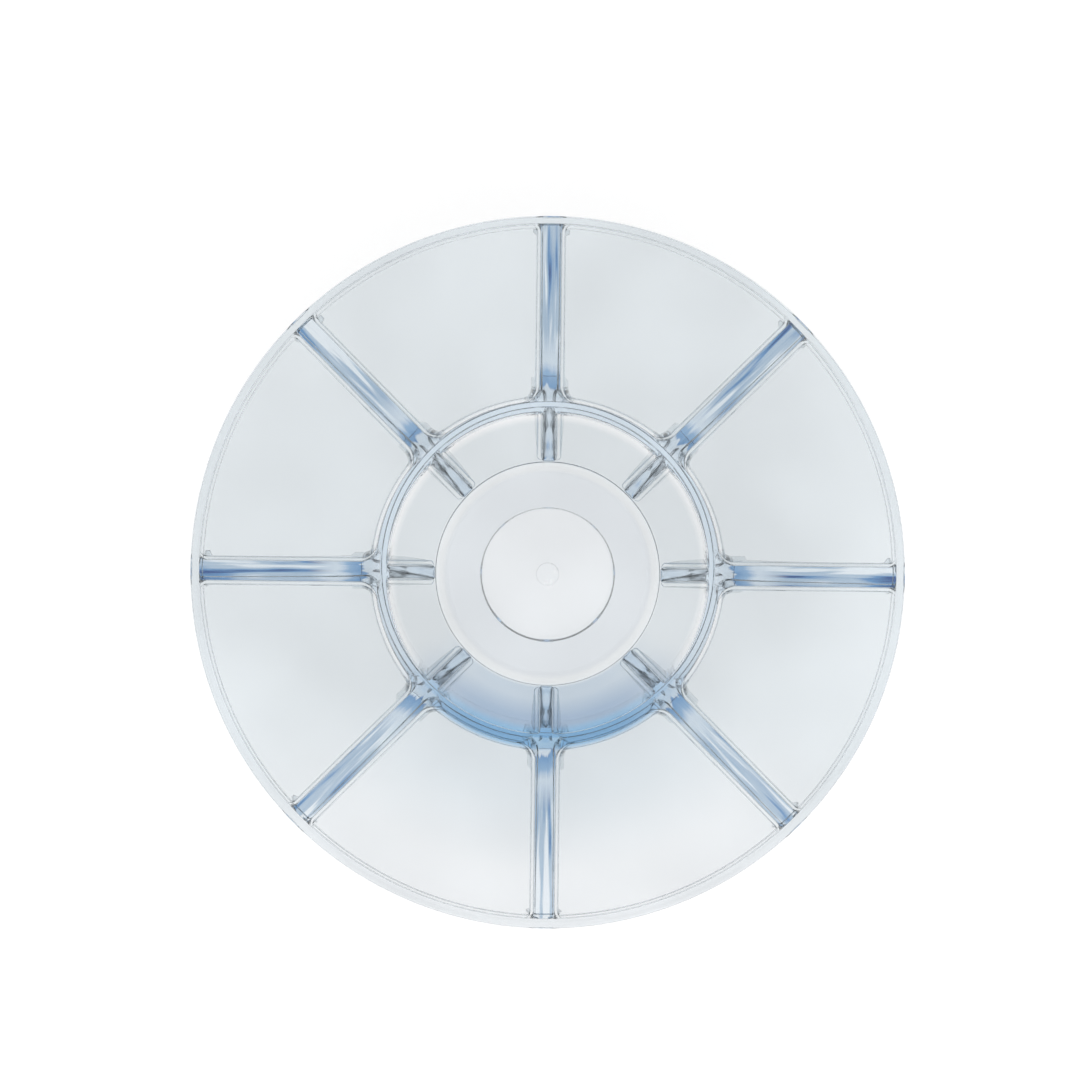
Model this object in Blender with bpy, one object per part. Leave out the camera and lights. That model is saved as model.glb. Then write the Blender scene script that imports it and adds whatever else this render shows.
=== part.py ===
"""Chair shoe: a clear moulded disc that spreads the load of a round chair leg on soft ground.

The flat sole stands on z = 0 and the leg socket opens upwards. The shoe is one moulding. It is cut here at its
own root lines into a disc, an edge rim, a leg seat, a socket wall, radial ribs and grip ribs, a saw cut apart.
"""

import math

import bmesh
import bpy

# Disc
DISC_DIAMETER = 0.0762
PLATE_THICKNESS = 0.0020
RIM_WIDTH = 0.0008
RIM_HEIGHT = 0.0012
SOLE_EDGE_ROUND = 0.0007

# Recess under the disc, with the mark of the injection gate in the middle
RECESS_DIAMETER = 0.0143
RECESS_DEPTH = 0.0010
RECESS_SLOPE = 0.00035
GATE_DIAMETER = 0.0024
GATE_HEIGHT = 0.0003

# Leg seat
SEAT_DIAMETER = 0.0237
SEAT_HEIGHT = 0.0010
SEAT_STEP = 0.0005
SEAT_SLOPE = 0.0012
SEAT_EDGE_ROUND = 0.0003

# Socket wall
SOCKET_DIAMETER = 0.0369
SOCKET_HEIGHT = 0.0170
MOUTH_WALL = 0.0006
MOUTH_EDGE_ROUND = 0.0002
WALL_FILLET = 0.0005

# Radial ribs, with a steep gusset at the socket and a long gentle slope to the rim
RIB_COUNT = 8
RIB_WIDTH = 0.0021
RIB_FILLET = 0.0005
RIB_CREST_ROUND = 0.0003
RIB_DROP_FROM_MOUTH = 0.0038
GUSSET_REACH = 0.0045
GUSSET_HEIGHT = 0.0080
CREST_BLEND = 0.0008
RIB_END_HEIGHT = 0.0050

# Grip ribs
GRIP_WIDTH = 0.0012
GRIP_FILLET = 0.0005
GRIP_CREST_ROUND = 0.0003
GRIP_DROP_FROM_MOUTH = 0.0014

# Moulding and fit
DRAFT = math.radians(1.0)
SAW_CUT = 0.0003

# Smoothness
TURN_STEPS = 96
ARC_STEPS = 4
SLOPE_STEPS = 5
SHARP_ANGLE = math.radians(35)
WELD = 1e-6

# Finish: sRGB colours, seen through each wall
PLATE_BLUE = (0.86, 0.90, 0.93)
WALL_BLUE = (0.55, 0.70, 0.84)
RIB_BLUE = (0.66, 0.77, 0.88)
GRIP_BLUE = (0.74, 0.83, 0.91)
PLASTIC_ROUGHNESS = 0.06
PLASTIC_IOR = 1.57
SRGB_GAMMA = 2.2

DISC_RADIUS = DISC_DIAMETER / 2
SEAT_RADIUS = SEAT_DIAMETER / 2
RIM_TOP = PLATE_THICKNESS + RIM_HEIGHT
RIM_INSIDE = DISC_RADIUS - RIM_WIDTH
FOOT = PLATE_THICKNESS + SAW_CUT


def clear_model():
    for item in list(bpy.data.objects):
        bpy.data.objects.remove(item, do_unlink=True)


def arc(centre, radius, start, end):
    """Points of an arc, from one angle in degrees to another."""
    points = []
    for step in range(ARC_STEPS + 1):
        angle = math.radians(start + (end - start) * step / ARC_STEPS)
        points.append((centre[0] + radius * math.cos(angle), centre[1] + radius * math.sin(angle)))
    return points


def fillet_flare(distance, radius):
    """How far a concave fillet stands out from one wall, at a distance from the other."""
    if distance >= radius:
        return 0.0
    return radius - math.sqrt(radius**2 - (radius - distance) ** 2)


def draft_at(height):
    """How far a drafted wall has drawn in, at a height above the floor."""
    return (height - PLATE_THICKNESS) * math.tan(DRAFT)


def wall_outside(height):
    flare = fillet_flare(height - PLATE_THICKNESS, WALL_FILLET)
    return SOCKET_DIAMETER / 2 - draft_at(height) + flare


def wall_bore(height):
    mouth_bore = SOCKET_DIAMETER / 2 - draft_at(SOCKET_HEIGHT) - MOUTH_WALL
    flare = fillet_flare(height - PLATE_THICKNESS, WALL_FILLET)
    return mouth_bore - draft_at(SOCKET_HEIGHT) + draft_at(height) - flare


def clear_plastic(name, colour):
    material = bpy.data.materials.new(name)
    material.use_nodes = True
    shader = material.node_tree.nodes["Principled BSDF"]
    shader.inputs["Base Color"].default_value = (*(channel**SRGB_GAMMA for channel in colour), 1.0)
    shader.inputs["Roughness"].default_value = PLASTIC_ROUGHNESS
    shader.inputs["Metallic"].default_value = 0.0
    shader.inputs["IOR"].default_value = PLASTIC_IOR
    shader.inputs["Transmission Weight"].default_value = 1.0
    return material


def finish_mesh(name, bm, colour):
    """Closes the mesh, turns its faces outwards and gives it its material."""
    bmesh.ops.remove_doubles(bm, verts=bm.verts, dist=WELD)
    bmesh.ops.recalc_face_normals(bm, faces=bm.faces)
    mesh = bpy.data.meshes.new(name)
    bm.to_mesh(mesh)
    bm.free()
    mesh.materials.append(clear_plastic(name, colour))
    mesh.shade_smooth()
    mesh.set_sharp_from_angle(angle=SHARP_ANGLE)
    return mesh


def add_object(name, mesh, parent, turn=0.0):
    item = bpy.data.objects.new(name, mesh)
    item.parent = parent
    item.rotation_euler.z = turn
    bpy.context.collection.objects.link(item)
    return item


def turned(name, profile, colour, closed=False):
    """A round solid, from the outline of its half section."""
    bm = bmesh.new()
    verts = [bm.verts.new((radius, 0.0, height)) for radius, height in profile]
    pairs = list(zip(verts, verts[1:]))
    if closed:
        pairs.append((verts[-1], verts[0]))
    edges = [bm.edges.new(pair) for pair in pairs]
    bmesh.ops.spin(
        bm,
        geom=verts + edges,
        cent=(0.0, 0.0, 0.0),
        axis=(0.0, 0.0, 1.0),
        angle=2 * math.pi,
        steps=TURN_STEPS,
        use_merge=True,
    )
    return finish_mesh(name, bm, colour)


def sole_disc_mesh():
    edge_centre = (DISC_RADIUS - SOLE_EDGE_ROUND, SOLE_EDGE_ROUND)
    recess_mouth = RECESS_DIAMETER / 2
    profile = [
        (0.0, PLATE_THICKNESS),
        (DISC_RADIUS, PLATE_THICKNESS),
        *arc(edge_centre, SOLE_EDGE_ROUND, 0, -90),
        (recess_mouth, 0.0),
        (recess_mouth - RECESS_SLOPE, RECESS_DEPTH),
        (GATE_DIAMETER / 2, RECESS_DEPTH),
        (GATE_DIAMETER / 2, RECESS_DEPTH - GATE_HEIGHT),
        (0.0, RECESS_DEPTH - GATE_HEIGHT),
    ]
    return turned("sole_disc", profile, PLATE_BLUE)


def edge_rim_mesh():
    crest = RIM_WIDTH / 2
    crest_centre = (DISC_RADIUS - crest, RIM_TOP - crest)
    profile = [(RIM_INSIDE, FOOT), *arc(crest_centre, crest, 180, 0), (DISC_RADIUS, FOOT)]
    return turned("edge_rim", profile, PLATE_BLUE, closed=True)


def leg_seat_mesh():
    top = PLATE_THICKNESS + SEAT_HEIGHT
    lean = math.atan2(SEAT_SLOPE, SEAT_HEIGHT - SEAT_STEP)
    shoulder = SEAT_RADIUS - SEAT_SLOPE - SEAT_EDGE_ROUND
    profile = [
        (0.0, top),
        *arc((shoulder, top - SEAT_EDGE_ROUND), SEAT_EDGE_ROUND, 90, math.degrees(lean)),
        (SEAT_RADIUS, PLATE_THICKNESS + SEAT_STEP),
        (SEAT_RADIUS, FOOT),
        (0.0, FOOT),
    ]
    return turned("leg_seat", profile, PLATE_BLUE)


def socket_wall_mesh():
    edge_level = SOCKET_HEIGHT - MOUTH_EDGE_ROUND
    bore_edge = (wall_bore(SOCKET_HEIGHT) + MOUTH_EDGE_ROUND, edge_level)
    outer_edge = (wall_outside(SOCKET_HEIGHT) - MOUTH_EDGE_ROUND, edge_level)
    fillet_rise = WALL_FILLET - SAW_CUT
    heights = [FOOT + fillet_rise * step / ARC_STEPS for step in range(ARC_STEPS + 1)]
    profile = [
        *((wall_bore(height), height) for height in heights),
        *arc(bore_edge, MOUTH_EDGE_ROUND, 180, 90),
        *arc(outer_edge, MOUTH_EDGE_ROUND, 90, 0),
        *((wall_outside(height), height) for height in reversed(heights)),
    ]
    return turned("socket_wall", profile, WALL_BLUE, closed=True)


def rib_section(crest, width, fillet, crest_round, flare):
    """Half of a rib's cross-section, as (across, height) from the foot to the middle of the crest."""
    half = width / 2 + flare
    fillet_rise = fillet - SAW_CUT
    points = []
    for step in range(ARC_STEPS + 1):
        height = FOOT + fillet_rise * step / ARC_STEPS
        spread = fillet_flare(height - PLATE_THICKNESS, fillet)
        points.append((half - draft_at(height) + spread, height))
    shoulder = (half - draft_at(crest) - crest_round, crest - crest_round)
    points.extend(arc(shoulder, crest_round, 0, 90))
    return points


def rib_mesh(name, stations, inside, outside, section_at, colour):
    """A radial rib, lofted through sections that curve with the walls at its two ends."""
    bm = bmesh.new()
    loops = []
    for station in stations:
        half = section_at(station)
        whole = half + [(-across, height) for across, height in reversed(half)]
        loop = []
        for across, height in whole:
            radius = inside(height) + (outside(height) - inside(height)) * station
            loop.append(bm.verts.new((math.sqrt(radius**2 - across**2), across, height)))
        loops.append(loop)
    for first, second in zip(loops, loops[1:]):
        for index in range(len(first)):
            after = (index + 1) % len(first)
            bm.faces.new((first[index], first[after], second[after], second[index]))
    bm.faces.new(loops[0])
    bm.faces.new(loops[-1])
    return finish_mesh(name, bm, colour)


def fillet_stations(span, fillet):
    """Places along a rib, as shares of its span, that draw the fillet at its inner end."""
    reach = fillet - SAW_CUT
    return [reach * step / ARC_STEPS / span for step in range(ARC_STEPS + 1)]


def radial_rib_mesh():
    def inside(height):
        return wall_outside(height) + SAW_CUT

    def outside(height):
        return RIM_INSIDE - SAW_CUT

    span = RIM_INSIDE - SOCKET_DIAMETER / 2 - 2 * SAW_CUT
    top = SOCKET_HEIGHT - RIB_DROP_FROM_MOUTH
    knee = PLATE_THICKNESS + GUSSET_HEIGHT
    end = PLATE_THICKNESS + RIB_END_HEIGHT

    def crest_at(distance):
        """Height of the crest, where the steep line and the gentle line blend at the knee."""
        steep = top + (knee - top) * distance / GUSSET_REACH
        gentle = knee + (end - knee) * (distance - GUSSET_REACH) / (span - GUSSET_REACH)
        return (steep + gentle + math.hypot(steep - gentle, CREST_BLEND)) / 2

    def section_at(station):
        near = fillet_flare(station * span + SAW_CUT, RIB_FILLET)
        far = fillet_flare((1 - station) * span + SAW_CUT, RIB_FILLET)
        return rib_section(crest_at(station * span), RIB_WIDTH, RIB_FILLET, RIB_CREST_ROUND, near + far)

    ends = fillet_stations(span, RIB_FILLET)
    knee_share = GUSSET_REACH / span
    gusset = [ends[-1] + (2 * knee_share - ends[-1]) * step / SLOPE_STEPS for step in range(1, SLOPE_STEPS + 1)]
    stations = ends + gusset + [1 - share for share in reversed(ends)]
    return rib_mesh("radial_rib", stations, inside, outside, section_at, RIB_BLUE)


def grip_rib_mesh():
    def inside(height):
        return SEAT_RADIUS + SAW_CUT

    def outside(height):
        return wall_bore(height) - SAW_CUT

    span = outside(SOCKET_HEIGHT) - inside(FOOT)
    toe = PLATE_THICKNESS + SEAT_HEIGHT
    top = SOCKET_HEIGHT - GRIP_DROP_FROM_MOUTH

    def section_at(station):
        flare = fillet_flare((1 - station) * span + SAW_CUT, RIB_FILLET)
        return rib_section(toe + (top - toe) * station, GRIP_WIDTH, GRIP_FILLET, GRIP_CREST_ROUND, flare)

    ends = fillet_stations(span, RIB_FILLET)
    stations = [0.0] + [1 - share for share in reversed(ends)]
    return rib_mesh("grip_rib", stations, inside, outside, section_at, GRIP_BLUE)


def main():
    clear_model()
    shoe = bpy.data.objects.new("chair_shoe", None)
    bpy.context.collection.objects.link(shoe)
    add_object("sole_disc", sole_disc_mesh(), shoe)
    add_object("edge_rim", edge_rim_mesh(), shoe)
    add_object("leg_seat", leg_seat_mesh(), shoe)
    add_object("socket_wall", socket_wall_mesh(), shoe)
    radial_rib = radial_rib_mesh()
    grip_rib = grip_rib_mesh()
    for index in range(RIB_COUNT):
        turn = 2 * math.pi * index / RIB_COUNT
        add_object(f"radial_rib_{index + 1}", radial_rib, shoe, turn)
        add_object(f"grip_rib_{index + 1}", grip_rib, shoe, turn)


main()
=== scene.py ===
"""Looks of the chair shoe: one continuous clear moulding, seen from beneath through its flat sole."""

import math

import bmesh
import bpy
from mathutils import Matrix, Vector


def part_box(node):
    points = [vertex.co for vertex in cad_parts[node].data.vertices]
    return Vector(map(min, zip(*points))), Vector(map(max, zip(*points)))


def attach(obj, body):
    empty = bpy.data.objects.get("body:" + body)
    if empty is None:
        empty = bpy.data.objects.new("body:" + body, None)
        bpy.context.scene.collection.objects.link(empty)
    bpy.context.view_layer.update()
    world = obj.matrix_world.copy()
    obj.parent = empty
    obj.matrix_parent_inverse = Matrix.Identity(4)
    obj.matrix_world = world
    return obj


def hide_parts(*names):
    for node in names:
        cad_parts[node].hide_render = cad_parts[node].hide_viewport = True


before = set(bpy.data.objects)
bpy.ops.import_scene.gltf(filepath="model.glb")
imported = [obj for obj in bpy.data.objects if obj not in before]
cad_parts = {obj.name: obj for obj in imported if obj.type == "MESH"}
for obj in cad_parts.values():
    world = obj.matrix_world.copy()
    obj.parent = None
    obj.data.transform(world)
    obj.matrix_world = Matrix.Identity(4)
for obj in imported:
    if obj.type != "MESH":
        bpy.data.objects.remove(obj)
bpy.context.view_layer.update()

# Sizes that the frame gives, in metres
SAW_CUT = 0.0003
DISC_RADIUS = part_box("sole_disc")[1].x
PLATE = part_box("sole_disc")[1].z
RIM_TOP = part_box("edge_rim")[1].z
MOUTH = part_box("socket_wall")[1].z
SEAT_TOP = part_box("leg_seat")[1].z
SEAT_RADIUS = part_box("leg_seat")[1].x
RIB_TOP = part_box("radial_rib_1")[1].z
GRIP_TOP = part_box("grip_rib_1")[1].z

# Sizes of the moulding that the frame's boxes don't show, in metres
DRAFT = math.radians(1.0)
SOLE_EDGE_ROUND = 0.00035
RIM_WIDTH = 0.0008
RIM_FILLET = 0.0004
RIM_ROUND = 0.00012
RECESS_RADIUS = 0.00715
RECESS_DEPTH = 0.0010
RECESS_SLOPE = 0.00010
RECESS_ROUND = 0.00020
GATE_RADIUS = 0.0012
GATE_HEIGHT = 0.0003
WALL_RADIUS = 0.01845
WALL_FILLET = 0.0004
MOUTH_WALL = 0.0006
MOUTH_ROUND = 0.00015
RIB_HALF = 0.00105
RIB_FILLET = 0.0004
RIB_CREST_ROUND = 0.00015
RIB_END_HEIGHT = 0.0050
RIB_END_ROUND = 0.00010
GUSSET_REACH = 0.0045
GUSSET_HEIGHT = 0.0080
CREST_BLEND = 0.0008
GRIP_HALF = 0.0006
GRIP_FILLET = 0.0006
GRIP_STEP = 0.00010
GRIP_CREST_ROUND = 0.00045
GRIP_NOSE = 0.0012
SEAT_STEP = 0.0005
SEAT_SLOPE = 0.0012
SEAT_ROUND = 0.00020
SEAT_TOP_ROUND = 0.00036

# The seat's edge from its foot to its slope, as steps outward from its radius and up from the plate
SEAT_EDGE = [
    (0.00020, 0.0), (0.00016, 0.00001), (0.00014, 0.00003), (0.00013, 0.00012), (0.00011, 0.00014),
    (0.00007, 0.00017), (-0.00034, SEAT_STEP - 0.00002), (-0.00040, SEAT_STEP),
]

# Each pocket between the ribs has round corners, and a hair-fine step at the edge of its floor
WALL_CORNER_ROUND = 0.0016
RIM_CORNER_ROUND = 0.0009
POCKET_STEP = 0.00014
POCKET_STEP_RUN = 0.00012

# Columns of the mesh across half a sector, and rows along a profile; shares place single rows on flat faces
SECTORS = 8
CREST_COLUMNS = 2
ROUND_COLUMNS = 5
SIDE_COLUMNS = 2
FILLET_COLUMNS = 6
STEP_COLUMNS = 3
FLOOR_COLUMNS = 9
COLUMNS = CREST_COLUMNS + ROUND_COLUMNS + SIDE_COLUMNS + FILLET_COLUMNS + STEP_COLUMNS + FLOOR_COLUMNS
HALF_SECTOR = math.pi / SECTORS
POLE_RADIUS = GATE_RADIUS * 0.5
RECESS_ROW_SHARE = 0.6
SEAT_ROW_SHARES = (0.7, 0.3)
SOLE_ROWS = 5
SOLE_FROM, SOLE_TO = RECESS_RADIUS * 1.2, DISC_RADIUS * 0.97
EDGE_ROWS = 3
ARC_ROWS = 8
FINE_ARC_ROWS = 4
FILLET_ROWS = 6
STEP_ROWS = 2
CORNER_ROWS = 7
RIB_ROWS = 26
GRIP_ROWS = 10
WALL_ROWS = 6

# The least height of a step, and how much large faces count in the shading, where 100 is the most
LEAST_HEIGHT = 0.00012
FLAT_FACE_WEIGHT = 100

# Places that follow from these sizes
RIM_INSIDE = DISC_RADIUS - RIM_WIDTH
RIM_SHOULDER = RIM_TOP - RIM_ROUND
MOUTH_SHOULDER = MOUTH - MOUTH_ROUND
RIB_LIMIT = MOUTH_SHOULDER - LEAST_HEIGHT
TOE_RADIUS = SEAT_RADIUS + SAW_CUT
EVEN_ANGLES = [HALF_SECTOR * column / COLUMNS for column in range(COLUMNS + 1)]

# Where the photograph puts the middle of the sole, in its own pixels, and how it looks at it
PHOTO_SIDE = 1080
SOLE_X, SOLE_Y = 548.0, 574.6
SOLE_RADIUS_PIXELS = 357.6
LENS_MM = 120.0
SENSOR_MM = 36.0
VIEW_ELEVATION = math.radians(-85.8)
VIEW_ROLL = math.radians(0.65)
NEAREST = 0.01


def steps(count, start=0.0, end=1.0):
    """Evenly spaced values from start to end, both included."""
    return [start + (end - start) * index / count for index in range(count + 1)]


def arc(centre, radius, start, end, count):
    """Points of an arc, from one angle in degrees to another."""
    angles = [math.radians(angle) for angle in steps(count, start, end)]
    return [(centre[0] + radius * math.cos(angle), centre[1] + radius * math.sin(angle)) for angle in angles]


def fillet_rise(distance, radius):
    """How far a concave fillet stands out from one wall, at a distance from the other."""
    if distance >= radius:
        return 0.0
    return radius - math.sqrt(radius**2 - (radius - distance) ** 2)


def fillet_places(radius):
    """Distances from a wall that draw a fillet evenly, from the wall outwards."""
    return [radius * (1 - math.cos(math.radians(angle))) for angle in steps(FILLET_ROWS, 0, 90)]


def pocket_edge(distance, fillet):
    """Rise of a pocket's floor towards a wall: the small step at its edge, then the fillet."""
    past_step = (distance - fillet) / POCKET_STEP_RUN
    step = POCKET_STEP * min(1.0, max(0.0, 1 - past_step))
    return max(step, fillet_rise(distance, fillet))


def pocket_places(fillet, corner_round):
    """Distances from a wall that draw its fillet, the step at the pocket's edge and the pocket's corner."""
    places = fillet_places(fillet)
    places += steps(STEP_ROWS, fillet, fillet + POCKET_STEP_RUN)[1:]
    places += steps(CORNER_ROWS, places[-1], corner_round)[1:]
    return places


def wall_outside(height):
    return WALL_RADIUS - (height - PLATE) * math.tan(DRAFT)


def wall_bore(height):
    return wall_outside(MOUTH) - MOUTH_WALL - (MOUTH - height) * math.tan(DRAFT)


def rib_section(crest, half_width, crest_round, fillet, step):
    """Half of a rib's section, as (across, height) points from the middle of the crest to the floor."""
    share = min(1.0, (crest - PLATE) / (crest_round + fillet))
    crest_round = crest_round * share
    fillet = fillet * share
    step = step * share
    top = half_width - (crest - PLATE) * math.tan(DRAFT)
    shoulder = (top - crest_round, crest - crest_round)
    points = [(across, crest) for across in steps(CREST_COLUMNS, 0.0, shoulder[0])]
    points.extend(arc(shoulder, crest_round, 90, 0, ROUND_COLUMNS)[1:])
    side_drop = crest - crest_round - PLATE - fillet
    for down in steps(SIDE_COLUMNS)[1:]:
        points.append((top + (half_width - top) * down, shoulder[1] - side_drop * down))
    points.extend(arc((half_width + fillet, PLATE + fillet), fillet, 180, 270, FILLET_COLUMNS)[1:])
    points = [(across, max(height, PLATE + step)) for across, height in points]
    for down in steps(STEP_COLUMNS)[1:]:
        points.append((half_width + fillet + POCKET_STEP_RUN * down, PLATE + step * (1 - down)))
    return points


def flared(points, flare):
    """A rib's section beside the rim: its foot is wider there, and it narrows to the rim's shoulder."""
    shoulder = RIM_SHOULDER - PLATE
    return [(across + flare * max(0.0, 1 - (height - PLATE) / shoulder), height) for across, height in points]


def section_row(points, radius_at):
    """A row of (radius, angle, height) across half a sector: a rib's section, then the floor beside it."""
    row = []
    for across, height in points:
        radius = radius_at(height)
        row.append((radius, math.asin(across / radius), height))
    radius, first, height = row[-1]
    row.extend((radius, angle, height) for angle in steps(FLOOR_COLUMNS, first, HALF_SECTOR)[1:])
    return row


def turned_row(radius, height, angles=EVEN_ANGLES):
    return [(radius, angle, height) for angle in angles]


def angles_of(row):
    return [angle for radius, angle, height in row]


def mixed(first, second, share):
    return [a + (b - a) * share for a, b in zip(first, second)]


def raised(height, rise):
    """A height above the plate, rounded into the fillet of a wall."""
    return PLATE + math.hypot(height - PLATE, rise)


def sole_rows():
    """The underside, from the gate mark in the recess out to the edge of the sole."""
    gate_face = RECESS_DEPTH - GATE_HEIGHT
    recess_floor = RECESS_RADIUS - RECESS_SLOPE
    edge = (DISC_RADIUS - SOLE_EDGE_ROUND, SOLE_EDGE_ROUND)
    profile = [
        (POLE_RADIUS, gate_face),
        *arc((GATE_RADIUS - RECESS_ROUND, gate_face + RECESS_ROUND), RECESS_ROUND, -90, 0, FINE_ARC_ROWS),
        *arc((GATE_RADIUS + RECESS_ROUND, RECESS_DEPTH - RECESS_ROUND), RECESS_ROUND, 180, 90, FINE_ARC_ROWS),
        (recess_floor * RECESS_ROW_SHARE, RECESS_DEPTH),
        *arc((recess_floor - RECESS_ROUND, RECESS_DEPTH - RECESS_ROUND), RECESS_ROUND, 90, 0, FINE_ARC_ROWS),
        *arc((RECESS_RADIUS + RECESS_ROUND, RECESS_ROUND), RECESS_ROUND, 180, 270, FINE_ARC_ROWS),
        *((radius, 0.0) for radius in steps(SOLE_ROWS, SOLE_FROM, SOLE_TO)),
        *arc(edge, SOLE_EDGE_ROUND, -90, 0, ARC_ROWS),
    ]
    return [turned_row(radius, height) for radius, height in profile]


def rim_rows(first_section):
    """The outside and top of the rim, to where the ribs and the plate meet its inner face."""
    angles = angles_of(first_section)
    crown = arc((DISC_RADIUS - RIM_ROUND, RIM_SHOULDER), RIM_ROUND, 0, 90, FINE_ARC_ROWS)
    crown += arc((RIM_INSIDE + RIM_ROUND, RIM_SHOULDER), RIM_ROUND, 90, 180, FINE_ARC_ROWS)
    side = steps(EDGE_ROWS, SOLE_EDGE_ROUND, RIM_SHOULDER)[1:-1]
    rows = [turned_row(DISC_RADIUS, height) for height in side]
    for index, (radius, height) in enumerate(crown[:-1]):
        rows.append(turned_row(radius, height, mixed(EVEN_ANGLES, angles, index / (len(crown) - 1))))
    return rows


def rib_zone_rows():
    """The top of the disc from the rim to the socket, with half a radial rib at the start of each row."""
    span = RIM_INSIDE - WALL_RADIUS
    knee = PLATE + GUSSET_HEIGHT
    end = PLATE + RIB_END_HEIGHT

    def crest_at(distance):
        """Height of the crest, where the gusset's line and the long gentle line blend at the knee."""
        steep = RIB_TOP + (knee - RIB_TOP) * distance / GUSSET_REACH
        gentle = knee + (end - knee) * (distance - GUSSET_REACH) / (span - GUSSET_REACH)
        return (steep + gentle + math.hypot(steep - gentle, CREST_BLEND)) / 2

    def meet_rim(height, gap):
        """A height near the rim: the floor's fillet runs up to the lip, and a rib's end rounds down to it."""
        lifted = raised(height, pocket_edge(gap, RIM_FILLET))
        if gap > 0 and lifted <= RIM_SHOULDER:
            return lifted
        end_round = math.sqrt(1 - (1 - min(1.0, gap / RIB_END_ROUND)) ** 2)
        return RIM_SHOULDER + max(0.0, lifted - RIM_SHOULDER) * end_round

    near_wall = pocket_places(WALL_FILLET, WALL_CORNER_ROUND)
    near_rim = pocket_places(RIM_FILLET, RIM_CORNER_ROUND)
    distances = [span - gap for gap in near_rim]
    distances.extend(steps(RIB_ROWS, distances[-1], near_wall[-1])[1:-1])
    distances.extend(reversed(near_wall))
    rows = []
    for distance in distances:
        gap = span - distance
        half_width = RIB_HALF + fillet_rise(distance, WALL_CORNER_ROUND)
        points = rib_section(crest_at(distance), half_width, RIB_CREST_ROUND, RIB_FILLET, POCKET_STEP)
        points = flared(points, fillet_rise(gap, RIM_CORNER_ROUND))
        share = distance / span
        row = section_row(points, lambda height: (1 - share) * wall_outside(height) + share * RIM_INSIDE)
        at_wall = pocket_edge(distance, WALL_FILLET)
        rows.append([
            (radius, angle, meet_rim(min(raised(height, at_wall), RIB_LIMIT), gap))
            for radius, angle, height in row
        ])
    return rows


def wall_rows(outer_section, inner_section):
    """The socket wall from its foot up the outside, over the mouth and down the bore."""
    inner_angles = angles_of(inner_section)
    rows = []
    for share in steps(WALL_ROWS)[1:-1]:
        row = []
        for (radius, angle, height), inner_angle in zip(outer_section, inner_angles):
            level = height + (MOUTH_SHOULDER - height) * share
            row.append((wall_outside(level), angle + (inner_angle - angle) * share, level))
        rows.append(row)
    outer_edge = (wall_outside(MOUTH) - MOUTH_ROUND, MOUTH_SHOULDER)
    bore_edge = (wall_bore(MOUTH) + MOUTH_ROUND, MOUTH_SHOULDER)
    crown = arc(outer_edge, MOUTH_ROUND, 0, 90, FINE_ARC_ROWS)
    crown += arc(bore_edge, MOUTH_ROUND, 90, 180, FINE_ARC_ROWS)
    rows.extend(turned_row(radius, height, inner_angles) for radius, height in crown)
    for share in steps(WALL_ROWS)[1:-1]:
        row = []
        for radius, angle, height in inner_section:
            level = MOUTH_SHOULDER + (height - MOUTH_SHOULDER) * share
            row.append((wall_bore(level), angle, level))
        rows.append(row)
    return rows


def grip_zone_rows():
    """The socket's floor from the bore to the leg seat, with half a grip rib at the start of each row."""
    span = wall_bore(PLATE) - TOE_RADIUS
    slope = (GRIP_TOP - SEAT_TOP) / span

    def crest_at(distance):
        """Height of the sloping crest, which rounds down to the floor at its toe."""
        inward = span - distance
        crest = SEAT_TOP + slope * inward
        nose = min(1.0, inward / GRIP_NOSE)
        return PLATE + LEAST_HEIGHT + (crest - PLATE - LEAST_HEIGHT) * math.sqrt(1 - (1 - nose) ** 2)

    near_wall = fillet_places(WALL_FILLET)
    near_toe = [span - GRIP_NOSE * (1 - math.cos(math.radians(angle))) for angle in steps(FILLET_ROWS, 90, 0)]
    distances = near_wall + steps(GRIP_ROWS, near_wall[-1], near_toe[0])[1:] + near_toe[1:]
    rows = []
    for distance in distances:
        at_wall = fillet_rise(distance, WALL_FILLET)
        half_width = GRIP_HALF + at_wall
        points = rib_section(crest_at(distance), half_width, GRIP_CREST_ROUND, GRIP_FILLET, GRIP_STEP)
        share = distance / span
        row = section_row(points, lambda height: (1 - share) * wall_bore(height) + share * TOE_RADIUS)
        rows.append([
            (radius, angle, min(raised(height, at_wall), RIB_LIMIT)) for radius, angle, height in row
        ])
    return rows


def seat_rows(last_section):
    """The low pad that the leg stands on, from the step at its foot to the middle."""
    edge = PLATE + SEAT_STEP
    lean = math.degrees(math.atan2(SEAT_TOP - edge, SEAT_SLOPE))
    shoulder = SEAT_RADIUS - SEAT_SLOPE - SEAT_ROUND
    profile = [
        *((SEAT_RADIUS + outward, PLATE + up) for outward, up in SEAT_EDGE),
        *arc((shoulder, SEAT_TOP - SEAT_TOP_ROUND), SEAT_TOP_ROUND, 90 - lean, 90, FINE_ARC_ROWS),
        *((SEAT_RADIUS * share, SEAT_TOP) for share in SEAT_ROW_SHARES),
        (POLE_RADIUS, SEAT_TOP),
    ]
    angles = angles_of(last_section)
    rows = []
    for index, (radius, height) in enumerate(profile):
        rows.append(turned_row(radius, height, mixed(angles, EVEN_ANGLES, index / (len(profile) - 1))))
    return rows


def ring_points(row):
    """The whole ring that a row of half a sector stands for, mirrored and turned round the axis."""
    points = []
    for sector in range(SECTORS):
        turn = 2 * HALF_SECTOR * sector
        for column in range(1 - COLUMNS, COLUMNS + 1):
            radius, angle, height = row[abs(column)]
            bearing = turn + math.copysign(angle, column)
            points.append((radius * math.cos(bearing), radius * math.sin(bearing), height))
    return points


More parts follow.
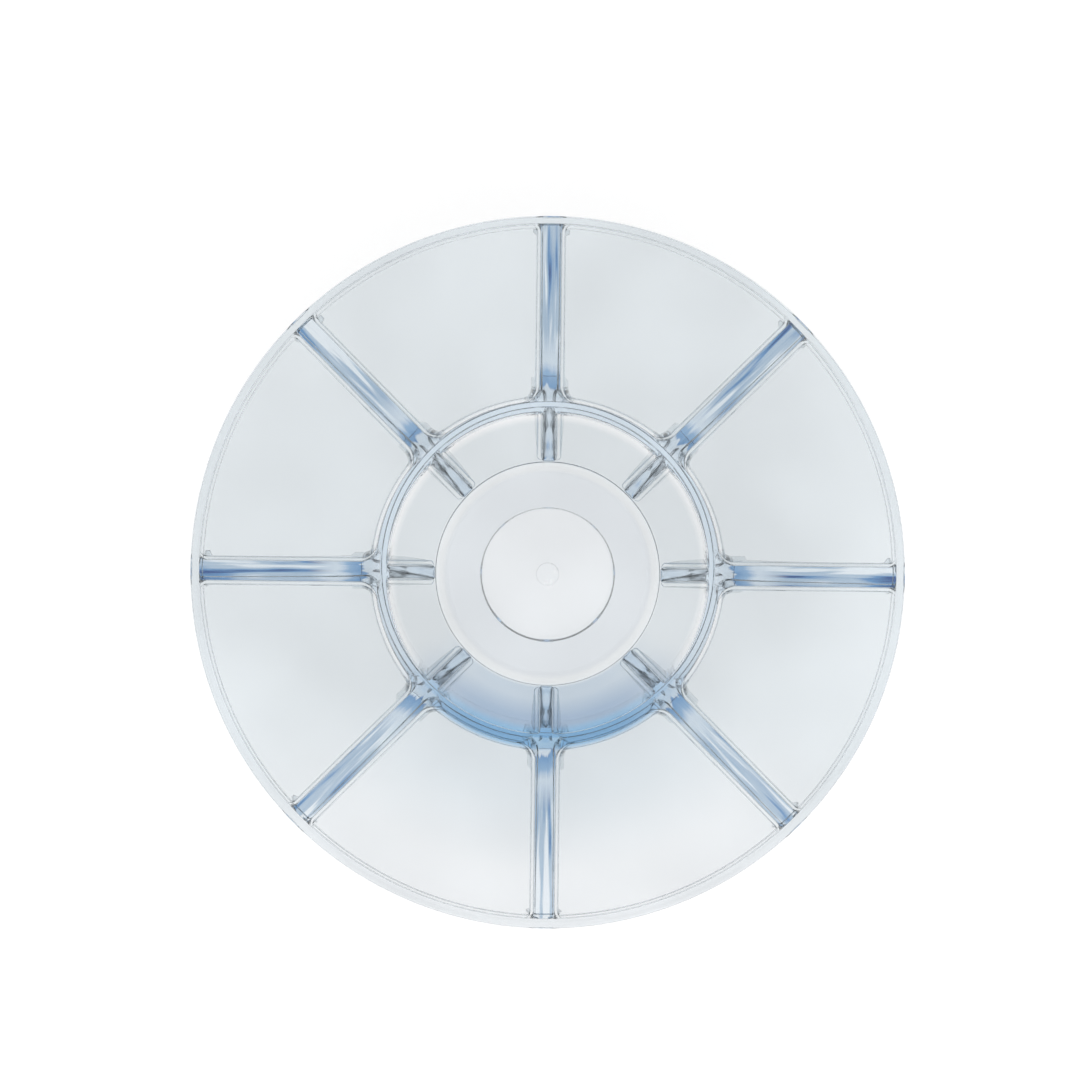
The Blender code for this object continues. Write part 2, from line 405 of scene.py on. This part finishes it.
def moulding_mesh():
    """The whole skin as rings of points, from the middle of the sole round the rim to the seat."""
    rib_rows = rib_zone_rows()
    grip_rows = grip_zone_rows()
    rows = sole_rows() + rim_rows(rib_rows[0]) + rib_rows + wall_rows(rib_rows[-1], grip_rows[0])
    rows += grip_rows + seat_rows(grip_rows[-1])
    bm = bmesh.new()
    rings = [[bm.verts.new(point) for point in ring_points(row)] for row in rows]
    count = len(rings[0])
    for lower, upper in zip(rings, rings[1:]):
        for index in range(count):
            after = (index + 1) % count
            bm.faces.new((lower[index], lower[after], upper[after], upper[index]))
    for ring, height in ((rings[0], rows[0][0][2]), (rings[-1], rows[-1][0][2])):
        pole = bm.verts.new((0.0, 0.0, height))
        for index in range(count):
            bm.faces.new((ring[index], ring[(index + 1) % count], pole))
    bmesh.ops.recalc_face_normals(bm, faces=bm.faces)
    mesh = bpy.data.meshes.new("clear_moulding")
    bm.to_mesh(mesh)
    bm.free()
    mesh.shade_smooth()
    return mesh


def linear(hex_colour):
    """An sRGB hex colour as linear red, green, blue and alpha."""
    channels = [int(hex_colour[index : index + 2], 16) / 255 for index in (1, 3, 5)]
    return [c / 12.92 if c <= 0.04045 else ((c + 0.055) / 1.055) ** 2.4 for c in channels] + [1.0]


def node(tree, kind, settings=None, links=None, stops=()):
    """Adds a shader node with its properties, inputs, links from other nodes' sockets, and colour stops."""
    made = tree.nodes.new(kind)
    for key, value in (settings or {}).items():
        if isinstance(key, str) and hasattr(made, key):
            setattr(made, key, value)
        else:
            made.inputs[key].default_value = value
    for key, socket in (links or {}).items():
        tree.links.new(socket, made.inputs[key])
    if stops:
        elements = made.color_ramp.elements
        while len(elements) < len(stops):
            elements.new(1.0)
        for element, (position, colour) in zip(elements, stops):
            element.position = position
            element.color = colour
    return made


def new_tree(owner):
    """The emptied node tree of a new material or world."""
    owner.use_nodes = True
    owner.node_tree.nodes.clear()
    return owner.node_tree


# Injection moulded polycarbonate: polished, clear but for a trace of haze, and blue where it is seen edge on
MM_PER_METRE = 1000.0
PLASTIC_IOR = 1.58
PLASTIC_TINT = "#a2cde8"
PLASTIC_DENSITY = 30.0
CLEARNESS = 0.97

# Its roughness where it is polished, scuffed, rubbed by legs and torn at the gate, and where each one is
POLISH, SCUFFED, RUBBED, TORN = 0.012, 0.05, 0.15, 0.45
SCUFF_MM = 0.9
SCUFF_FROM, SCUFF_FULL = 0.55, 0.85
TORN_MM = 1.1
TORN_RADIUS = 0.0021
GRIP_FOOT = PLATE + GRIP_FILLET
GRIP_FULL = PLATE + 2 * GRIP_FILLET
GRIP_FROM = SEAT_RADIUS - SAW_CUT
GRIP_TO = wall_bore(PLATE) - WALL_FILLET

# Waves that the melt left in the faces, in metres deep, and soft clouds in the plastic
FLOW_MM = 6.0
FLOW_DEPTH = 0.000012
CLOUD_MM = 15.0
CLOUD_FROM, CLOUD_FULL = 0.35, 0.65
CLOUD_DEPTH = 0.93

# Zones of the moulding: from and to which radius in millimetres, the colour on the plain side, and the colour
# on the side painted bluer as shade
# The colours of the bluer side are painted shade, deepest on the socket wall, with a touch of painted light
# on the rim
# The plain colours are partly the plastic's own tint and partly painted shade; the recess, the leg seat, its
# edge and the socket wall are painted lighter, as light
ZONE_TINTS_AND_PAINTED_LIGHT = {
    "recess": (0.0, 7.0, "#fafbfc", "#fafbfc"),
    "leg_seat": (7.3, 10.9, "#f1f3f5", "#f1f3f5"),
    "seat_edge": (11.2, 11.8, "#fafbfb", "#fafbfb"),
    "socket_floor": (12.2, 13.4, "#ebeff1", "#d4dfe9"),
    "foot_of_wall": (15.4, 16.2, "#ebeff1", "#b6c8dd"),
    "socket_wall": (16.9, 18.5, "#ffffff", "#a2caea"),
    "pockets": (18.9, 24.0, "#ebeff1", "#e8edf0"),
    "rim": (32.0, 39.0, "#ebeff1", "#f0f1f2"),
}
LAST_MM = ZONE_TINTS_AND_PAINTED_LIGHT["rim"][1]

# The bluer side's painted shade starts and is full at these shares of a point's radius, on faces at least
# this level
SHADED_SIDE_FROM, SHADED_SIDE_FULL = 0.45, 0.95
LEVEL_FROM, LEVEL_FULL = 0.2, 0.5

# Painted highlights and shade in streaks along the ribs' crests, by noise level, drawn coarser than they are
# so that they show
RIB_HIGHLIGHT_AND_SHADE_STREAKS = [(0.33, "#051a55"), (0.40, "#2f62a0"), (0.46, "#86a0bc"), (0.53, "#98aec5"), (0.60, "#fafbfc")]
STREAK_DEGREES = 1.5
STREAK_MM = 14.0
STREAKS_FROM_MM, STREAKS_FULL_MM = 22.2, 26.2
RIB_FOOT = RIM_TOP
RIB_FADE = 0.0010
RIB_FULL = RIB_FOOT + RIB_FADE

# A patch of painted blue shade on each gusset, by radius in millimetres, and how far the noise makes its
# edges wander
GUSSET_PAINTED_SHADE = [(19.8, "#f2f5f8"), (20.1, "#3f74b2"), (21.5, "#6f98c6"), (22.6, "#e4ecf4")]
GUSSET_WANDER_MM = 3.0


def place_on_shoe(tree):
    """Sockets that say where on the shoe a point lies, and whether its face is level there."""
    coordinates = node(tree, "ShaderNodeTexCoord")
    place = coordinates.outputs["Object"]
    parts = node(tree, "ShaderNodeSeparateXYZ", links={0: place})
    seen_flat = node(tree, "ShaderNodeVectorMath", {"operation": "MULTIPLY", 1: (1.0, 1.0, 0.0)}, {0: place})
    plan = seen_flat.outputs[0]
    radius = node(tree, "ShaderNodeVectorMath", {"operation": "LENGTH"}, {0: plan}).outputs["Value"]
    reach = node(tree, "ShaderNodeMath", {"operation": "MULTIPLY", 1: MM_PER_METRE / LAST_MM}, {0: radius})
    side = node(tree, "ShaderNodeMath", {"operation": "DIVIDE"}, {0: parts.outputs["Y"], 1: radius})

    # The seam of the angle lies in a pocket, half a sector away from the nearest rib
    turned = node(
        tree, "ShaderNodeVectorRotate", {"rotation_type": "Z_AXIS", "Angle": HALF_SECTOR}, {0: place},
    )
    flat = node(tree, "ShaderNodeSeparateXYZ", links={0: turned.outputs[0]})
    angle = node(
        tree, "ShaderNodeMath", {"operation": "ARCTAN2"}, {0: flat.outputs["Y"], 1: flat.outputs["X"]},
    )

    # Light reaches a face from both sides, so the normal counts without its sign
    facing = node(tree, "ShaderNodeSeparateXYZ", links={0: coordinates.outputs["Normal"]})
    upright = node(tree, "ShaderNodeMath", {"operation": "ABSOLUTE"}, {0: facing.outputs["Z"]})
    level = node(
        tree, "ShaderNodeMapRange", {"From Min": LEVEL_FROM, "From Max": LEVEL_FULL}, {0: upright.outputs[0]},
    )
    return {
        "place": place,
        "plan": plan,
        "height": parts.outputs["Z"],
        "radius": radius,
        "reach": reach.outputs[0],
        "side": side.outputs[0],
        "angle": angle.outputs[0],
        "level": level.outputs[0],
    }


def zone_tint_and_painted_light(tree, at):
    """The plastic's own tint with painted light and shade zone by zone, painted bluer shade on the level
    faces of one side, and soft clouds.
    """
    clear, blue = [], []
    for start, end, plain_side_colour, shaded_side_colour in ZONE_TINTS_AND_PAINTED_LIGHT.values():
        for mm in (start, end):
            clear.append((mm / LAST_MM, linear(plain_side_colour)))
            blue.append((mm / LAST_MM, linear(shaded_side_colour)))
    # The bluer side's painted shade, on level faces only
    side = node(
        tree, "ShaderNodeMapRange",
        {"interpolation_type": "SMOOTHSTEP", "From Min": SHADED_SIDE_FROM, "From Max": SHADED_SIDE_FULL}, {0: at["side"]},
    )
    share = node(tree, "ShaderNodeMath", {"operation": "MULTIPLY"}, {0: side.outputs[0], 1: at["level"]})
    plain_side_zones = node(tree, "ShaderNodeValToRGB", links={0: at["reach"]}, stops=clear)
    shaded_side_zones = node(tree, "ShaderNodeValToRGB", links={0: at["reach"]}, stops=blue)
    zones = node(
        tree, "ShaderNodeMix", {"data_type": "RGBA"},
        {0: share.outputs[0], 6: plain_side_zones.outputs[0], 7: shaded_side_zones.outputs[0]},
    )
    cloud = node(
        tree, "ShaderNodeTexNoise", {"Scale": MM_PER_METRE / CLOUD_MM, "Detail": 1.0}, {0: at["plan"]},
    )
    dimmed = node(
        tree, "ShaderNodeMapRange",
        {"From Min": CLOUD_FROM, "From Max": CLOUD_FULL, "To Min": 1.0, "To Max": CLOUD_DEPTH},
        {0: cloud.outputs["Fac"]},
    )
    clouded = node(
        tree, "ShaderNodeVectorMath", {"operation": "SCALE"},
        {0: zones.outputs[2], "Scale": dimmed.outputs[0]},
    )
    return clouded.outputs[0]


def crest_painted_light_and_shade(tree, at):
    """Painted streaks of highlight and shade along the crest of each rib, and painted blue shade on the steep
    gusset by the wall.
    """
    across = node(
        tree, "ShaderNodeMath", {"operation": "DIVIDE", 1: math.radians(STREAK_DEGREES)}, {0: at["angle"]},
    )
    along = node(
        tree, "ShaderNodeMath", {"operation": "MULTIPLY", 1: MM_PER_METRE / STREAK_MM}, {0: at["radius"]},
    )
    # Noise that places the painted streaks and the wandering edges of the gussets' painted shade
    painted_mark_place = node(tree, "ShaderNodeCombineXYZ", links={0: across.outputs[0], 1: along.outputs[0]})
    painted_mark_noise = node(
        tree, "ShaderNodeTexNoise", {"Scale": 1.0, "Detail": 2.0, "Roughness": 0.55},
        {0: painted_mark_place.outputs[0]},
    )
    streak_stops = [(level, linear(colour)) for level, colour in RIB_HIGHLIGHT_AND_SHADE_STREAKS]
    wander = GUSSET_WANDER_MM / LAST_MM
    gusset_stops = [(mm / LAST_MM + wander / 2, linear(colour)) for mm, colour in GUSSET_PAINTED_SHADE]
    streaks = node(tree, "ShaderNodeValToRGB", links={0: painted_mark_noise.outputs["Fac"]}, stops=streak_stops)
    wandering = node(
        tree, "ShaderNodeMath", {"operation": "MULTIPLY_ADD", 1: wander},
        {0: painted_mark_noise.outputs["Fac"], 2: at["reach"]},
    )
    gussets = node(tree, "ShaderNodeValToRGB", links={0: wandering.outputs[0]}, stops=gusset_stops)
    past_knee = node(
        tree, "ShaderNodeMapRange",
        {
            "interpolation_type": "SMOOTHSTEP",
            "From Min": STREAKS_FROM_MM / LAST_MM,
            "From Max": STREAKS_FULL_MM / LAST_MM,
        },
        {0: at["reach"]},
    )
    both = node(
        tree, "ShaderNodeMix", {"data_type": "RGBA"},
        {0: past_knee.outputs[0], 6: gussets.outputs[0], 7: streaks.outputs[0]},
    )
    return both.outputs[2]


def crest_share(tree, at):
    """Where the crests of the radial ribs are: high up, outside the socket wall and level."""
    high = node(tree, "ShaderNodeMapRange", {"From Min": RIB_FOOT, "From Max": RIB_FULL}, {0: at["height"]})
    outside = node(tree, "ShaderNodeMath", {"operation": "GREATER_THAN", 1: WALL_RADIUS}, {0: at["radius"]})
    on_rib = node(
        tree, "ShaderNodeMath", {"operation": "MULTIPLY"}, {0: high.outputs[0], 1: outside.outputs[0]},
    )
    crest = node(tree, "ShaderNodeMath", {"operation": "MULTIPLY"}, {0: on_rib.outputs[0], 1: at["level"]})
    return crest.outputs[0]


def grip_share(tree, at):
    """Where the grip ribs stand: above the socket's floor, between the leg seat and the bore."""
    high = node(tree, "ShaderNodeMapRange", {"From Min": GRIP_FOOT, "From Max": GRIP_FULL}, {0: at["height"]})
    past_seat = node(tree, "ShaderNodeMath", {"operation": "GREATER_THAN", 1: GRIP_FROM}, {0: at["radius"]})
    in_bore = node(tree, "ShaderNodeMath", {"operation": "LESS_THAN", 1: GRIP_TO}, {0: at["radius"]})
    between = node(
        tree, "ShaderNodeMath", {"operation": "MULTIPLY"}, {0: past_seat.outputs[0], 1: in_bore.outputs[0]},
    )
    grip = node(
        tree, "ShaderNodeMath", {"operation": "MULTIPLY"}, {0: high.outputs[0], 1: between.outputs[0]},
    )
    return grip.outputs[0]


def polish_roughness(tree, at):
    """Polish with fine scuffs; legs rub the grip ribs, and the gate mark was broken off and stays dull."""
    scuff = node(
        tree, "ShaderNodeTexNoise", {"Scale": MM_PER_METRE / SCUFF_MM, "Detail": 6.0}, {0: at["place"]},
    )
    polish = node(
        tree, "ShaderNodeMapRange",
        {"From Min": SCUFF_FROM, "From Max": SCUFF_FULL, "To Min": POLISH, "To Max": SCUFFED},
        {0: scuff.outputs["Fac"]},
    )
    near_gate = node(
        tree, "ShaderNodeMapRange", {"From Min": TORN_RADIUS, "From Max": GATE_RADIUS, "To Max": TORN},
        {0: at["radius"]},
    )
    torn = node(
        tree, "ShaderNodeTexNoise", {"Scale": MM_PER_METRE / TORN_MM, "Detail": 2.0}, {0: at["place"]},
    )
    gate = node(
        tree, "ShaderNodeMath", {"operation": "MULTIPLY"}, {0: torn.outputs["Fac"], 1: near_gate.outputs[0]},
    )
    rubbed = node(tree, "ShaderNodeMath", {"operation": "MULTIPLY", 1: RUBBED}, {0: grip_share(tree, at)})
    dull = node(tree, "ShaderNodeMath", {"operation": "MAXIMUM"}, {0: gate.outputs[0], 1: rubbed.outputs[0]})
    return node(tree, "ShaderNodeMath", {"operation": "MAXIMUM"}, {0: polish.outputs[0], 1: dull.outputs[0]})


def melt_waves(tree, at):
    """Slow waves of the melt, which bend what shows through."""
    flow = node(
        tree, "ShaderNodeTexNoise", {"Scale": MM_PER_METRE / FLOW_MM, "Detail": 1.0}, {0: at["place"]},
    )
    return node(
        tree, "ShaderNodeBump", {"Strength": 1.0, "Distance": FLOW_DEPTH}, {"Height": flow.outputs["Fac"]},
    )


def clear_polycarbonate():
    """Polished faces, faintly wavy where the melt flowed and scuffed in use, with painted streaks of
    highlight and shade along the ribs.
    """
    material = bpy.data.materials.new("clear_blue_polycarbonate_moulded")
    tree = new_tree(material)
    at = place_on_shoe(tree)
    # The ribs' crests take the painted streaks and the gussets' painted shade in place of the zone colours
    colour = node(
        tree, "ShaderNodeMix", {"data_type": "RGBA"},
        {0: crest_share(tree, at), 6: zone_tint_and_painted_light(tree, at), 7: crest_painted_light_and_shade(tree, at)},
    )
    roughness = polish_roughness(tree, at)
    waves = melt_waves(tree, at)
    surface = node(
        tree, "ShaderNodeBsdfPrincipled", {"IOR": PLASTIC_IOR, "Transmission Weight": CLEARNESS},
        {"Base Color": colour.outputs[2], "Roughness": roughness.outputs[0], "Normal": waves.outputs[0]},
    )
    tint = node(
        tree, "ShaderNodeVolumeAbsorption", {"Color": linear(PLASTIC_TINT), "Density": PLASTIC_DENSITY},
    )
    node(tree, "ShaderNodeOutputMaterial", links={"Surface": surface.outputs[0], "Volume": tint.outputs[0]})
    return material


# The shoe stands on the floor when it is seen from above; seen from beneath, its mouth lies on white paper
SHEET_SIZE = 1.5
SHEET_GAP = 0.0002
FLOOR_COLOUR = "#f2f3f4"
FLOOR_GLOW = 0.9
PAPER_COLOUR = "#848484"
PAPER_GLOW = 0.85


def floor_paper():
    """Matt white paper, only there from above; through clear plastic it shows as plain white."""
    material = bpy.data.materials.new("matt_white_floor_paper")
    tree = new_tree(material)
    matt = node(tree, "ShaderNodeBsdfDiffuse", {"Color": linear(FLOOR_COLOUR)})
    glow = node(tree, "ShaderNodeEmission", {"Strength": FLOOR_GLOW})
    through = node(tree, "ShaderNodeLightPath").outputs["Is Transmission Ray"]
    front = node(tree, "ShaderNodeMixShader", links={0: through, 1: matt.outputs[0], 2: glow.outputs[0]})
    show_one_side(tree, front)
    return material


def backing_paper():
    """White paper with an even glow behind the mouth, only there from beneath."""
    material = bpy.data.materials.new("white_backing_paper")
    tree = new_tree(material)
    matt = node(tree, "ShaderNodeBsdfDiffuse", {"Color": linear(PAPER_COLOUR)})
    glow = node(tree, "ShaderNodeEmission", {"Strength": PAPER_GLOW})
    front = node(tree, "ShaderNodeAddShader", links={0: matt.outputs[0], 1: glow.outputs[0]})
    show_one_side(tree, front)
    return material


def show_one_side(tree, front):
    """Finishes a paper that shows its front and lets everything through from its back."""
    side = node(tree, "ShaderNodeNewGeometry").outputs["Backfacing"]
    nothing = node(tree, "ShaderNodeBsdfTransparent")
    both = node(tree, "ShaderNodeMixShader", links={0: side, 1: front.outputs[0], 2: nothing.outputs[0]})
    node(tree, "ShaderNodeOutputMaterial", links={"Surface": both.outputs[0]})


def build_sheet(name, height, faces_down, material):
    mesh = bpy.data.meshes.new(name)
    bm = bmesh.new()
    bmesh.ops.create_grid(bm, x_segments=1, y_segments=1, size=SHEET_SIZE)
    if faces_down:
        bmesh.ops.reverse_faces(bm, faces=bm.faces)
    bm.to_mesh(mesh)
    bm.free()
    mesh.materials.append(material)
    sheet = bpy.data.objects.new(name, mesh)
    sheet.location.z = height
    sheet.visible_diffuse = False
    sheet.visible_shadow = False
    bpy.context.scene.collection.objects.link(sheet)


# Levels of the soft studio light by angle from straight down, and one broad soft light from below
LIGHT_BY_ANGLE = [(0, 0.3), (9, 0.3), (16, 0.7), (58, 0.7), (80, 0.9), (98, 0.9), (130, 1.0), (180, 1.0)]
KEY_LEVEL = 2.5
KEY_DIRECTION = (0.1, 0.62, -0.78)
KEY_EDGE, KEY_CORE = 0.80, 0.95


def build_studio_light():
    world = bpy.data.worlds.new("studio")
    bpy.context.scene.world = world
    tree = new_tree(world)
    direction = node(tree, "ShaderNodeTexCoord").outputs["Generated"]
    height = node(tree, "ShaderNodeSeparateXYZ", links={0: direction}).outputs["Z"]
    share = node(tree, "ShaderNodeMapRange", {"From Min": -1.0, "From Max": 1.0}, {0: height})
    stops = []
    for angle, level in LIGHT_BY_ANGLE:
        stops.append(((1 - math.cos(math.radians(angle))) / 2, (level, level, level, 1.0)))
    ramp = node(tree, "ShaderNodeValToRGB", links={0: share.outputs[0]}, stops=stops)
    towards_key = Vector(KEY_DIRECTION).normalized()
    facing = node(tree, "ShaderNodeVectorMath", {"operation": "DOT_PRODUCT", 1: towards_key}, {0: direction})
    key = node(
        tree, "ShaderNodeMapRange",
        {"interpolation_type": "SMOOTHSTEP", "From Min": KEY_EDGE, "From Max": KEY_CORE, "To Max": KEY_LEVEL},
        {0: facing.outputs["Value"]},
    )
    total = node(tree, "ShaderNodeMath", {"operation": "ADD"}, {0: ramp.outputs[0], 1: key.outputs[0]})
    light = node(
        tree, "ShaderNodeBackground", {"Color": (1.0, 1.0, 1.0, 1.0)}, {"Strength": total.outputs[0]},
    )
    node(tree, "ShaderNodeOutputWorld", links={"Surface": light.outputs[0]})


def build_camera():
    """A long lens beneath the sole, turned so that the sole sits where the photograph has it."""
    pixel = DISC_RADIUS / SOLE_RADIUS_PIXELS
    distance = PHOTO_SIDE * pixel * LENS_MM / SENSOR_MM
    away = Vector((0.0, -math.cos(VIEW_ELEVATION), math.sin(VIEW_ELEVATION)))
    right = Vector((1.0, 0.0, 0.0))
    up = away.cross(right)
    place = away * distance
    aim = right * (PHOTO_SIDE / 2 - SOLE_X) * pixel + up * (SOLE_Y - PHOTO_SIDE / 2) * pixel
    back = (place - aim).normalized()
    right = (right - back * right.dot(back)).normalized()
    up = back.cross(right)
    turn = Matrix((right, up, back)).transposed() @ Matrix.Rotation(VIEW_ROLL, 3, "Z")
    data = bpy.data.cameras.new("camera")
    data.lens = LENS_MM
    data.sensor_width = SENSOR_MM
    data.clip_start = NEAREST
    camera = bpy.data.objects.new("camera", data)
    camera.matrix_world = Matrix.Translation(place) @ turn.to_4x4()
    bpy.context.scene.collection.objects.link(camera)
    bpy.context.scene.camera = camera


def build_moulding():
    """The shoe is one moulding, so one skin stands for every node of the frame."""
    moulding = bpy.data.objects.new("clear_moulding", moulding_mesh())
    moulding.data.materials.append(clear_polycarbonate())
    bpy.context.scene.collection.objects.link(moulding)
    flat_faces = moulding.modifiers.new("flat_faces_stay_flat", "WEIGHTED_NORMAL")
    flat_faces.mode = "FACE_AREA"
    flat_faces.weight = FLAT_FACE_WEIGHT
    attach(moulding, "root")
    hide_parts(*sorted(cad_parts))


def main():
    build_moulding()
    build_sheet("floor", -SHEET_GAP, False, floor_paper())
    build_sheet("backing", MOUTH + SHEET_GAP, True, backing_paper())
    build_studio_light()
    build_camera()
    bpy.context.scene.view_settings.view_transform = "Standard"


main()
